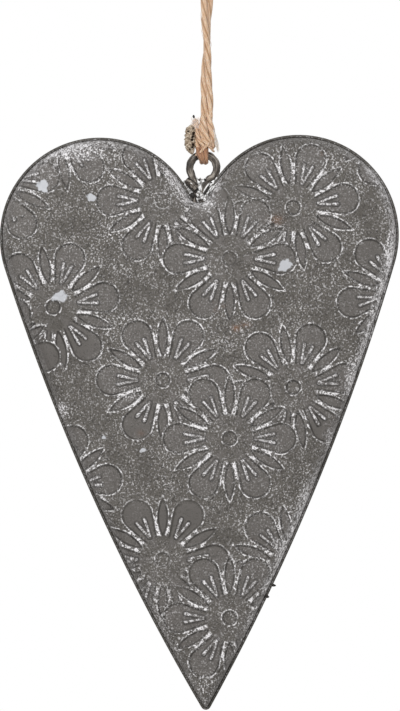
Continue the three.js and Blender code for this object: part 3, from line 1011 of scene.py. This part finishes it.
def chip_depth(x, z):
    """Signed distance to the nearest chip, whose edge is an ellipse with a wobble."""
    nearest = np.full(x.shape, FAR)
    for cx, cz, width, height, turn in CHIPS:
        c, s = cos(radians(turn)), sin(radians(turn))
        u, v = ((x - cx) * c + (z - cz) * s) / width, ((z - cz) * c - (x - cx) * s) / height
        angle = np.arctan2(v, u)
        edge = 1 + 0.14 * np.sin(3 * angle + cx) + 0.09 * np.sin(5 * angle + cz)
        nearest = np.maximum(nearest, (edge - np.hypot(u, v)) * min(width, height))
    return nearest


def rim_label(x, z, side, inset):
    """The rubbed band's strength at the edge, a bell curve in the inset. The hem, which is the
    back sheet's but is seen with the front, is painted dark along its outer edge as the outline's
    shade, and elsewhere as rubbed as the rim beside it, with painted light towards the right,
    where the shoulder shades it."""
    hem = inset < HEM + 0.05
    seen_x = np.where(hem, x, x * -side)
    amount = np.clip(0.14 + blotches(seen_x, z, RIM), 0, 1.4)
    # Painted light: the hem grows lighter towards the right, where the shoulder's shadow falls on
    # it
    on_hem = 0.7 * amount - 0.5 + 0.3 * np.clip(x / 12, 0, 1)
    band = np.exp(-(((inset - BAND_INSET) / BAND_WIDTH) ** 2)) * amount
    # Painted shade: the hem's outer 0.3 mm is dark
    return np.where(hem, np.where(inset < 0.3, -0.8, on_hem), band)


def fill(inset, spacing):
    """Triangles inside the outline at inset: a square net of points that keeps a little clear of
    the outline's own points, joined to them by Delaunay's rule. Gives the net's points and all
    triangles; the outline's points come first in their numbering."""
    ring = outline(inset)
    low, high = ring.min(axis=0), ring.max(axis=0)
    axes = (np.arange(low[k], high[k], spacing) for k in range(2))
    x, z = (values.ravel() for values in np.meshgrid(*axes))
    clear = inset + 0.55 * spacing
    inside = inset_at(x, z) > clear
    inside &= np.hypot(x, z - LOBE_Z - CLEFT_RISE) > CLEFT_RADIUS + clear
    points = np.column_stack([x[inside], z[inside]])
    every = np.vstack([ring, points])
    edge = [list(range(len(ring)))]
    found, _, faces, _, _, _ = delaunay_2d_cdt(every.tolist(), [], edge, 1, 1e-7)
    if len(found) != len(every):
        raise RuntimeError("the net inside the outline came out with other points")
    return points, faces


# Distance between the points of the nets on the hollow side and on the outer face
INNER_SPACING, OUTER_SPACING = 3.0, 0.38


def pressed_sheet(profile, side, shift):
    """A sheet as a closed shell: rings of the outline at each inset and depth of the profile,
    from the hollow side's cap round the edge to the outer cap. side is -1 for the front.
    The outer face carries the pattern, mirrored and moved by shift."""
    outer_from = profile.index((LIP, LIP_OUTER))
    blocks = []
    for number, (inset, depth) in enumerate(profile):
        ring = outline(inset)
        blocks.append((ring, depth, np.full(len(ring), inset), number >= outer_from))
    count = len(ring)
    total = len(profile) * count
    faces = net(len(profile), count)
    for (inset, depth), first, spacing, outer in (
        (profile[0], 0, INNER_SPACING, False),
        (profile[-1], total - count, OUTER_SPACING, True),
    ):
        points, triangles = fill(inset, spacing)
        index = np.concatenate([first + np.arange(count), total + np.arange(len(points))])
        faces += index[np.array(triangles)].tolist()
        total += len(points)
        x, z = points.T
        blocks.append((points, depth + crown(x, z), inset_at(x, z), outer))

    parts = []
    for points, depth, inset, outer in blocks:
        x, z = points.T
        place = hang(np.column_stack([x, np.zeros(len(x)), z]))
        px, pz = place[:, 0] * shift[0] + shift[1], place[:, 2] + shift[2]
        line, stroke, floor, rub = pattern(px, pz)
        if outer:
            depth = depth + np.clip((inset - LIP) / 2, 0, 1) * relief(line, stroke, floor, rub)
        line, stroke, floor = np.where(inset > PATTERN_EDGE, (line, stroke, floor), FAR)
        labels = {
            "line": line,
            "stroke": stroke,
            "floor": floor,
            "rub": rub,
            "wear": blotches(px, pz, WASH) - blotches(px, pz, WIPED),
            "rim": rim_label(place[:, 0], place[:, 2], side, inset),
            "chip": chip_depth(px, pz) if side < 0 else np.full(len(x), FAR),
            "rust": blotches(px, pz, RUST),
        }
        place[:, 1] = side * depth
        parts.append((place, [], labels))
    points, _, labels = join(parts)
    return points, faces, labels


def shoulder(foot, foot_inset, steps):
    """A quarter of an ellipse from the lip up to the crown's edge."""
    angle = np.linspace(0, pi / 2, steps)
    inset = SHOULDER_END - (SHOULDER_END - foot_inset) * np.cos(angle)
    depth = foot + SHOULDER_DEPTH * np.sin(angle)
    return [(foot_inset, foot), *zip(inset[1:].tolist(), depth[1:].tolist())]


# Each profile's rows are an inset and a depth outwards. The back sheet's turns over the front
# sheet's lip in a hem with rounded edges.
FRONT_PROFILE = [
    *reversed(shoulder(LIP_INNER, LIP + SHEET, 5)),
    (SHEET + SEAM, LIP_INNER),
    (SHEET + SEAM, LIP_OUTER),
    *shoulder(LIP_OUTER, LIP, 15),
]
HEM_IN = -LIP_OUTER - SEAM
HEM_OUT = HEM_IN - SHEET
BACK_PROFILE = [
    *reversed(shoulder(LIP_INNER, LIP + SHEET, 5)),
    (SHEET, LIP_INNER),
    (SHEET, HEM_IN),
    (HEM - 0.04, HEM_IN),
    (HEM, HEM_IN - 0.06),
    (HEM, HEM_OUT + 0.07),
    (HEM - 0.06, HEM_OUT),
    (0.42, HEM_OUT), (0.26, HEM_OUT), (0.14, HEM_OUT + 0.03), (0.04, HEM_OUT + 0.12),
    (0, HEM_OUT + 0.25), (0, LIP_OUTER - 0.25),
    (0.04, LIP_OUTER - 0.12), (0.14, LIP_OUTER - 0.03), (0.28, LIP_OUTER),
    *shoulder(LIP_OUTER, LIP, 13),
]

for side, name, profile, shift in (
    (-1, "front_sheet", FRONT_PROFILE, (1, 0, 0)),
    (1, "back_sheet", BACK_PROFILE, (-1, 9.0, -21.0)),
):
    sheet = pressed_sheet(profile, side, shift)
    sheet_piece = add_piece(name, sheet, SHEET_METAL, "heart")
    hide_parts("front_shell" if side < 0 else "back_shell")


# The wire eye and its solder

BOW_X = BOW_LEAN + 0.26  # the bow's middle lies a little right of the hanging line
STOUT = 1.07  # how much stouter the wire is than in the solids
STUB_RADIUS = 0.92
# Each leg: how far below the level the bow ends, and x and z on the way down to the cleft, in
# the heart's own frame
LEGS = {
    -1: (radians(30), [(-1.60, -64.9), (-1.02, -66.1), (-0.60, -67.5), (-1.0, -69.6)]),
    1: (radians(42), [(3.10, -65.1), (2.40, -65.8), (1.68, -66.75), (1.30, -68.4)]),
}
STUB = [(-4.5, -0.8, -65.45), (-3.6, -1.1, -65.95), (-2.6, -1.2, -66.75), (-1.55, -1.0, -67.7)]


def eye_half(sign):
    """The wire's middle line from the top of the bow down one leg, in the heart's own frame."""
    leg_x = LEG_SPACING / 2
    leg_y = LIP_INNER + SHOULDER_DEPTH + 1.0 - WIRE
    below, way_down = LEGS[sign]
    angle = pi / 2 - (pi / 2 + below) * np.arange(8) / 7
    bow_x = BOW_X + sign * BOW_RADIUS * np.cos(angle)
    bow = np.column_stack([bow_x, np.zeros(8), BOW + BOW_RADIUS * np.sin(angle)])
    neck = np.array([(x, 0, z) for x, z in way_down])
    leg = np.array([
        (leg_x, 0, CLEFT),
        (leg_x, 0, CLEFT - LIP - WIRE * 2),
        (leg_x + LEG_SPLAY * 0.25, leg_y * 0.45, CLEFT - LEG_DEPTH * 0.5),
        (leg_x + LEG_SPLAY * 0.6, leg_y * 0.9, CLEFT - LEG_DEPTH * 0.75),
        (leg_x + LEG_SPLAY, leg_y, CLEFT - LEG_DEPTH),
    ])
    leg[:, 0] *= sign
    return np.vstack([bow, neck, leg])


def wire_tube(path, radius):
    """A round wire along a path, with the slight flats and dents of a wire that was bent with
    pliers: two waves in the angle that drift along it."""
    sides = 26
    run = run_of(path)[:, None]
    angle = round_angles(sides)
    dent = 1 + 0.035 * np.sin(2.1 * run + 2 * angle) + 0.025 * np.sin(3.7 * run - 3 * angle)
    reach = np.reshape(radius, (-1, 1)) * dent
    x, y = np.cos(angle), np.sin(angle)
    faces = closed_net(len(path), sides)
    return sweep(path, x * reach, y * reach), faces, {"lay": grid(x, y, run)}


def eye():
    """The bow and its two legs as one wire, and the short thick end of wire soldered on at the
    foot of the left leg."""
    path = smooth_path(hang(np.vstack([eye_half(-1)[::-1], eye_half(1)[1:]])), 0.3)
    stub = smooth_path(STUB, 0.12)
    along = np.linspace(0, 1, len(stub))
    ends = np.sqrt(np.clip(np.minimum(along, 1 - along) * 9 + 0.4, 0, 1))
    swell = ends * (STUB_RADIUS + 0.07 * np.sin(23 * along) + 0.05 * np.sin(41 * along))
    return join([wire_tube(path, WIRE * STOUT), wire_tube(stub, swell)])


eye_piece = add_piece("wire_eye", eye(), DARK_WIRE, "heart")
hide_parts("hanger_eye")


def lump(middle, size, seed):
    """A blob of solder: an ellipsoid whose radius rises and falls with a few waves in its two
    angles."""
    waves = np.random.default_rng(seed)
    rows, columns = 26, 36
    polar = np.linspace(0.06, pi - 0.06, rows)[:, None]
    angle = round_angles(columns)
    radius = np.ones((rows, columns))
    for order in range(2, 6):
        phase = waves.uniform(0, TURN, 2)
        wave = np.sin(order * angle + phase[0]) * np.sin(order * polar + phase[1])
        radius += 0.22 / order * wave * np.sin(polar)
    x, y = np.sin(polar) * np.cos(angle), np.sin(polar) * np.sin(angle)
    points = grid(x, y, np.cos(polar)) * radius.reshape(-1, 1) * size + middle
    return points, closed_net(rows, columns), {}


# The solder flooded between the lobes: the angle in degrees about FLOOD_AT and the reach there
FLOOD_AT = (-0.6, -68.3)
FLOOD = [
    (-150, 3.4), (-116, 3.6), (-93, 3.6), (-70, 3.4), (-34, 3.4), (1, 3.8), (23, 5.2), (32, 7.1),
    (42, 7.3), (52, 6.6), (59, 4.2), (76, 3.35), (100, 3.5), (120, 3.9), (139, 4.9), (150, 5.3),
    (161, 5.2), (176, 4.1),
]


def flood(side):
    """The solder that fills the cleft behind and between the legs: a flat cake whose edge runs at
    the reach given for each angle, and whose faces rise and fall with a few crossing waves."""
    rows, columns = 34, 150
    polar = np.linspace(0.05, pi - 0.05, rows)[:, None]
    angle = np.linspace(-pi, pi, columns, endpoint=False)
    given, reach = np.array(FLOOD, float).T
    given = np.radians([given[-1] - 360, *given, given[0] + 360])
    edge = np.interp(angle, given, [reach[-1], *reach, reach[0]])
    edge = edge * (1 + 0.03 * np.sin(17 * angle + 1) + 0.025 * np.sin(29 * angle))
    q = np.sin(polar) ** 0.5
    x = FLOOD_AT[0] + q * edge * np.cos(angle)
    z = FLOOD_AT[1] + q * edge * np.sin(angle)
    waves = np.sin(3.1 * x + 2.3 * z) + np.sin(4.3 * x - 3.7 * z + 1)
    waves = 0.16 * (waves + np.sin(6.9 * z + 1.9 * x + 2))
    y = side * 0.40 - np.cos(polar) * (0.36 + 0.8 * waves * np.sin(polar))
    return grid(x, y, z), closed_net(rows, columns), {}


def spindles(rows, side):
    """Straight bars with a round section that narrows at both ends. Each row holds x, depth and
    z of both ends and the radius; depth counts outwards on the side, which is -1 for the front."""
    parts = []
    for *ends, radius in rows:
        start, end = np.array(ends).reshape(2, 3) * (1, side, 1)
        narrow = float(np.linalg.norm(end - start)) / 2 * 0.6
        route = smooth_path([start, (start + end) / 2, end], 0.1)
        parts.append(strand(route, radius, groove=0.0, sides=14, taper=(narrow, narrow)))
    return join(parts)


# Lumps of solder: middle with its depth outwards, half sizes and seed
LUMPS = [
    ((-0.75, 0.75, -67.6), (0.75, 0.7, 1.5), 3),
    ((-1.0, 1.1, -69.2), (0.8, 0.6, 1.0), 5),
    ((-0.1, 1.2, -69.9), (0.7, 0.6, 0.9), 8),
    ((0.7, 0.9, -70.5), (0.8, 0.6, 0.8), 9),
]
# Streaks of solder whose crests are painted white as glints, near-black slits of painted shade and
# burrs on the hem, as in spindles
STREAKS = [
    (3, 0.9, -66.9, 1, 1.2, -69.7, 0.3), (1.9, 1, -66.3, 0.2, 1.25, -68.9, 0.3),
    (4.2, 0.9, -66.1, 2.3, 1.1, -68.6, 0.3), (1.3, 1.1, -68.9, 0.7, 1.3, -70.3, 0.28),
    (-0.95, 1.4, -67, -0.7, 1.5, -68.4, 0.3), (-1.6, 1.4, -70.3, -1, 1.6, -71.5, 0.25),
    (-0.6, 1.6, -69, 0.2, 1.7, -70.1, 0.3), (-3.9, 1.8, -65.9, -2.6, 2, -66.6, 0.16),
]
SLITS = [
    (2.1, 1.2, -66.7, 0.3, 1.5, -69.7, 0.34), (-4.75, 1, -66.1, -2.15, 1.5, -68.85, 0.34),
    (-3.3, 1.3, -69.1, -2, 1.5, -70.1, 0.62), (-1.3, 1.9, -71.15, -0.15, 1.9, -70.95, 0.3),
    (-1.1, 0.8, -65.2, -0.5, 0.9, -65.5, 0.32), (0.5, 0.9, -65.1, 1.1, 1, -65.5, 0.3),
    (-1.5, 1.3, -67.9, -1.9, 1.5, -69.1, 0.26), (-3.9, 1.6, -64.75, -1, 1.7, -66.9, 0.17),
    (-1.7, 1.7, -67.3, -1, 1.8, -68.2, 0.2),
]
BURRS = [
    (18.3, 0.4, -178.2, 20.6, 0.5, -178.6, 0.4), (16.4, 0.4, -181.1, 18.7, 0.5, -181.8, 0.5),
]

for side, name in ((-1, "front"), (1, "back")):
    lumps = [lump(np.array(at) * (1, side, 1), size, seed) for at, size, seed in LUMPS]
    dull = join([flood(side), *lumps])
    dull[2]["crest"] = np.zeros(len(dull[0]))
    streaks = spindles(STREAKS, side)
    streaks[2].pop("lay")
    bead = add_piece(f"solder_at_neck_{name}", join([dull, streaks]), SOLDER, "heart")
    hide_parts(f"neck_solder_{name}")

# Near-black slits at the neck: painted shade in the gaps about the legs
add_piece("painted_shade_at_neck", spindles(SLITS, -1), SLIT_SHADE_AND_BURRS, "heart")
add_piece("burrs_on_hem", spindles(BURRS, -1), SLIT_SHADE_AND_BURRS, "heart")

for name in ("leg_tack_left", "leg_tack_right"):
    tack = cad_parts[name]
    tack.data.materials.clear()
    tack.data.materials.append(SOLDER)


# Room and light

FLOOR_SIZE, FLOOR_HEIGHT = 0.75, -0.262
# Name, place, size and power of each lamp
LAMPS = [
    ("key", (-0.5, -0.92, 0.42), 0.5, 6.2),
    ("fill", (0.8, -0.8, -0.1), 0.9, 2.9),
    ("behind", (0.3, 0.9, 0.3), 0.8, 3.0),
]
LIT_AT = (0, 0, -0.12)
AMBIENT = 0.42  # the world's strength as light; where it is seen it is 1


def set_stage():
    """A pale floor below the heart, a white surround for the camera and soft studio light."""
    floor = bpy.data.meshes.new("floor")
    corners = [(-1, -1), (1, -1), (1, 1), (-1, 1)]
    corners = [(x * FLOOR_SIZE, y * FLOOR_SIZE, FLOOR_HEIGHT) for x, y in corners]
    floor.from_pydata(corners, [], [(0, 1, 2, 3)])
    material, _ = new_material("pale_floor")
    floor.materials.append(finish_material(material, "#E9E8E6", Roughness=0.9))
    board = bpy.data.objects.new("floor", floor)
    bpy.context.collection.objects.link(board)

    world = bpy.data.worlds.new("studio")
    bpy.context.scene.world = world
    world.use_nodes = True
    tree = world.node_tree
    tree.nodes.clear()
    seen = 0.0
    for ray in ("Is Camera Ray", "Is Glossy Ray", "Is Transmission Ray"):
        seen = add(tree, "Math MAXIMUM", seen, add(tree, "LightPath", out=ray))
    strength = add(tree, "MapRange", seen, 0.0, 1.0, AMBIENT, 1.0)
    add(tree, "OutputWorld", add(tree, "Background", (1, 1, 1, 1), strength))

    for name, place, size, power in LAMPS:
        data = bpy.data.lights.new(name, "AREA")
        data.size = size
        data.energy = power
        lamp = bpy.data.objects.new(name, data)
        lamp.location = place
        x, y, z = np.subtract(LIT_AT, place)
        lamp.rotation_euler = (atan2(hypot(x, y), -z), 0, atan2(-x, y))
        bpy.context.collection.objects.link(lamp)


set_stage()
bpy.context.scene.view_settings.view_transform = "Standard"
